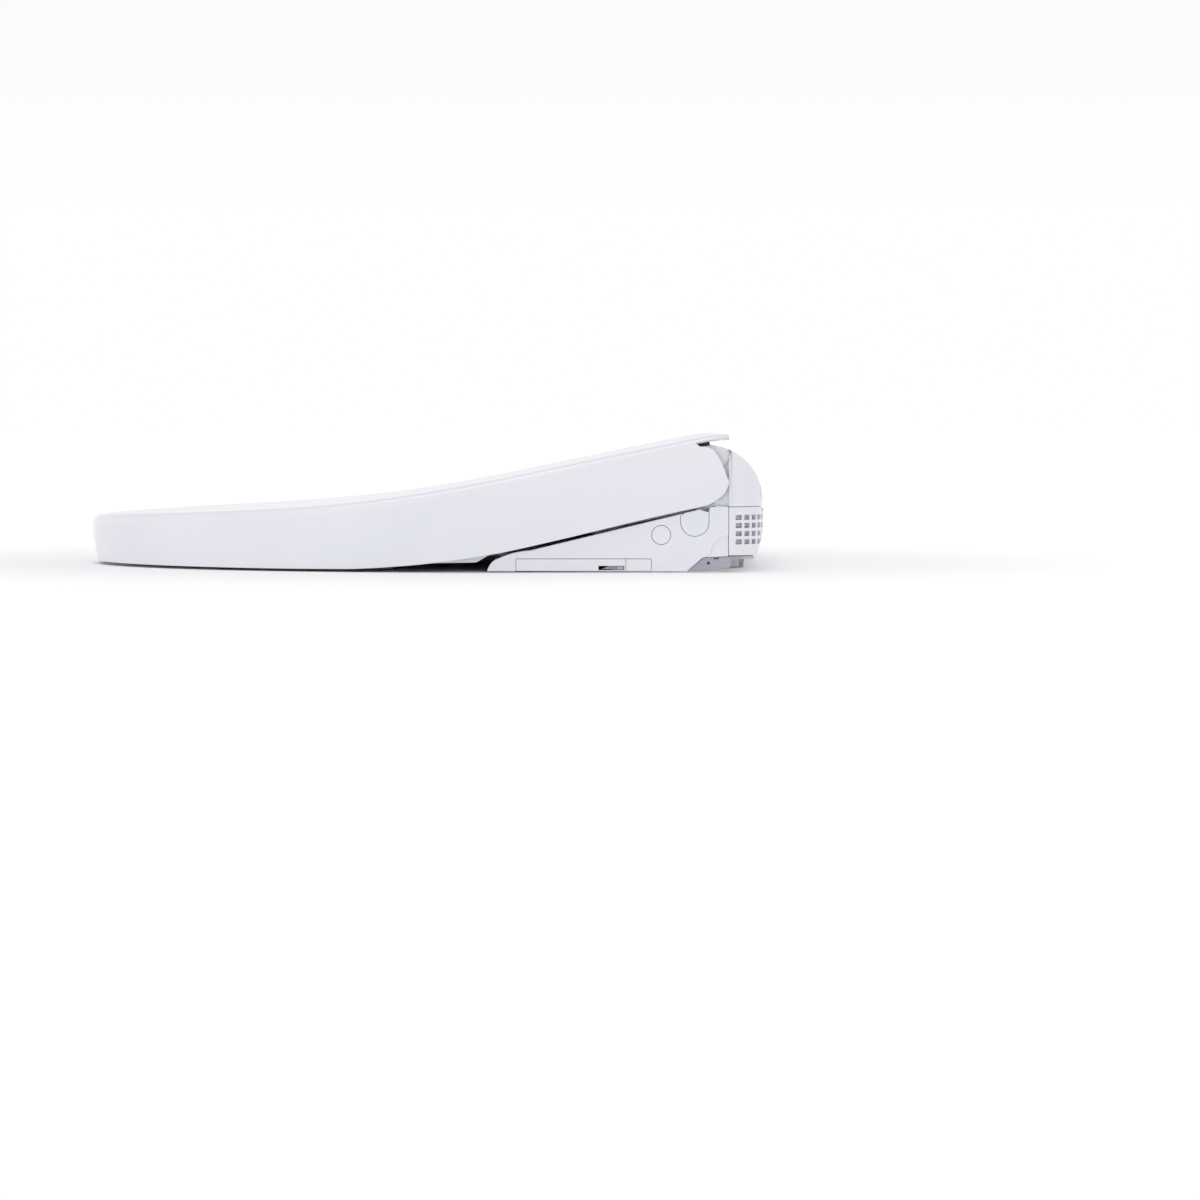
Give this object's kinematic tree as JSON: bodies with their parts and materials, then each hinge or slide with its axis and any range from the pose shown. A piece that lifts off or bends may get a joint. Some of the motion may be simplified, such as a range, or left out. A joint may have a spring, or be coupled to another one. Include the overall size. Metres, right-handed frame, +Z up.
{
  "type": "electric bidet seat",
  "caption": "Electric bidet seat with closed wrap-around lid, heated ring seat, sliding wash wand, warm-air dryer and a slide-off mounting plate.",
  "frame": {"origin": "midway between the two mounting bolts, on the face that rests on the bowl", "axes": "+Z up, -Y towards the nose of the lid, +X towards the sitter's left"},
  "size_m": [0.386, 0.5246, 0.1559],
  "materials": {
    "shell_white": "moulded, gloss white",
    "seat_white": "moulded, gloss white",
    "case_white": "moulded, satin white",
    "bracket_grey": "moulded, satin grey",
    "dark_plastic": "moulded, matt black",
    "window": "smoked, polished",
    "rubber_grey": "moulded rubber",
    "steel": "turned steel",
    "brass": "plated brass",
    "foil": "foil",
    "pcb": "solder mask green",
    "filter_foam": "carbon filter mat"
  },
  "bodies": {
    "base": {"mounting_plate": "bracket_grey", "mounting_bolts": "steel", "adjuster_plates": "case_white", "expansion_bushings": "rubber_grey", "expansion_nuts": "case_white"},
    "main_unit": {"top_cover": "shell_white", "receiver_window": "window", "seat_sensor": "window", "rear_panel": "shell_white", "rear_bumpers": "dark_plastic", "side_panel_left": "shell_white", "side_panel_right": "shell_white", "screw_caps": "shell_white", "hinge_covers": "shell_white", "lower_brackets": "bracket_grey", "service_cap": "shell_white", "bottom_case": "case_white", "nozzle_cover": "shell_white", "case_screws": "steel", "case_feet": "rubber_grey", "hinge_shafts": "steel", "seat_damper": "dark_plastic", "lid_damper": "dark_plastic", "nozzle_motor": "steel", "nozzle_guide": "case_white", "dryer_housing": "dark_plastic", "dryer_motor": "steel", "deodoriser_housing": "dark_plastic", "deodoriser_motor": "steel", "flap_hinge": "case_white", "water_heater": "case_white", "valve_block": "dark_plastic", "inlet_block": "case_white", "inlet_nipple": "brass", "inlet_filter": "steel", "cord_gland": "rubber_grey", "control_board": "pcb", "board_posts": "case_white", "power_board": "pcb", "button_board": "pcb"},
    "seat": {"seat_upper": "seat_white", "seat_lower": "seat_white", "seat_heater": "foil", "seat_bumpers": "rubber_grey"},
    "lid": {"lid_shell": "shell_white", "lid_bumpers": "rubber_grey"},
    "wand": {"wand_tube": "case_white", "wand_tip": "shell_white", "wand_rack": "case_white"},
    "pinion": {"drive_pinion": "case_white"},
    "dryer_fan": {"dryer_wheel": "case_white"},
    "deodoriser_fan": {"deodoriser_wheel": "case_white"},
    "flap": {"dryer_flap": "shell_white"},
    "drawer": {"filter_drawer": "shell_white", "filter_media": "filter_foam"},
    "latch": {"drawer_latch": "bracket_grey"},
    "release": {"release_button": "bracket_grey"},
    "stop_button": {"button_stop": "bracket_grey"},
    "rear_wash_button": {"button_rear_wash": "bracket_grey"},
    "front_wash_button": {"button_front_wash": "bracket_grey"}
  },
  "joints": [
    {"name": "unit_slide", "type": "slide", "parent": "base", "child": "main_unit", "axis": [0, -1, 0], "range_m": [0, 0.045]},
    {"name": "seat_hinge", "type": "hinge", "parent": "main_unit", "child": "seat", "pos_m": [0, 0.008, 0.052], "axis": [-1, 0, 0], "range_deg": [0, 95]},
    {"name": "lid_hinge", "type": "hinge", "parent": "seat", "child": "lid", "pos_m": [0, 0.008, 0.052], "axis": [1, 0, 0], "range_deg": [-95, 0]},
    {"name": "wand_slide", "type": "slide", "parent": "main_unit", "child": "wand", "axis": [0, -0.9135, -0.4067], "range_m": [0, 0.09]},
    {"name": "pinion_spin", "type": "hinge", "parent": "main_unit", "child": "pinion", "pos_m": [0.0145, -0.07911, 0.02664], "axis": [0, -0.4067, 0.9135], "range_deg": [0, 1035]},
    {"name": "dryer_fan_spin", "type": "hinge", "parent": "main_unit", "child": "dryer_fan", "pos_m": [-0.068, -0.026, 0.042], "axis": [1, 0, 0], "continuous": true},
    {"name": "deodoriser_fan_spin", "type": "hinge", "parent": "main_unit", "child": "deodoriser_fan", "pos_m": [0.108, -0.034, 0.03], "axis": [0, 0, 1], "continuous": true},
    {"name": "dryer_flap_hinge", "type": "hinge", "parent": "main_unit", "child": "flap", "pos_m": [-0.068, -0.0798, 0.0276], "axis": [-1, 0, 0], "range_deg": [0, 60]},
    {"name": "drawer_slide", "type": "slide", "parent": "main_unit", "child": "drawer", "axis": [1, 0, 0], "range_m": [0, 0.03]},
    {"name": "latch_slide", "type": "slide", "parent": "drawer", "child": "latch", "axis": [0, -1, 0], "range_m": [0, 0.008], "stiffness_N_per_m": 60},
    {"name": "release_push", "type": "slide", "parent": "main_unit", "child": "release", "axis": [1, 0, 0], "range_m": [0, 0.004], "stiffness_N_per_m": 200},
    {"name": "stop_push", "type": "slide", "parent": "main_unit", "child": "stop_button", "axis": [1, 0, 0], "range_m": [0, 0.0015], "stiffness_N_per_m": 300},
    {"name": "rear_wash_push", "type": "slide", "parent": "main_unit", "child": "rear_wash_button", "axis": [1, 0, 0], "range_m": [0, 0.0015], "stiffness_N_per_m": 300},
    {"name": "front_wash_push", "type": "slide", "parent": "main_unit", "child": "front_wash_button", "axis": [1, 0, 0], "range_m": [0, 0.0015], "stiffness_N_per_m": 300}
  ],
  "couplings": [
    {"joint": "pinion_spin", "follows": "wand_slide", "rad_per_m": 200}
  ]
}
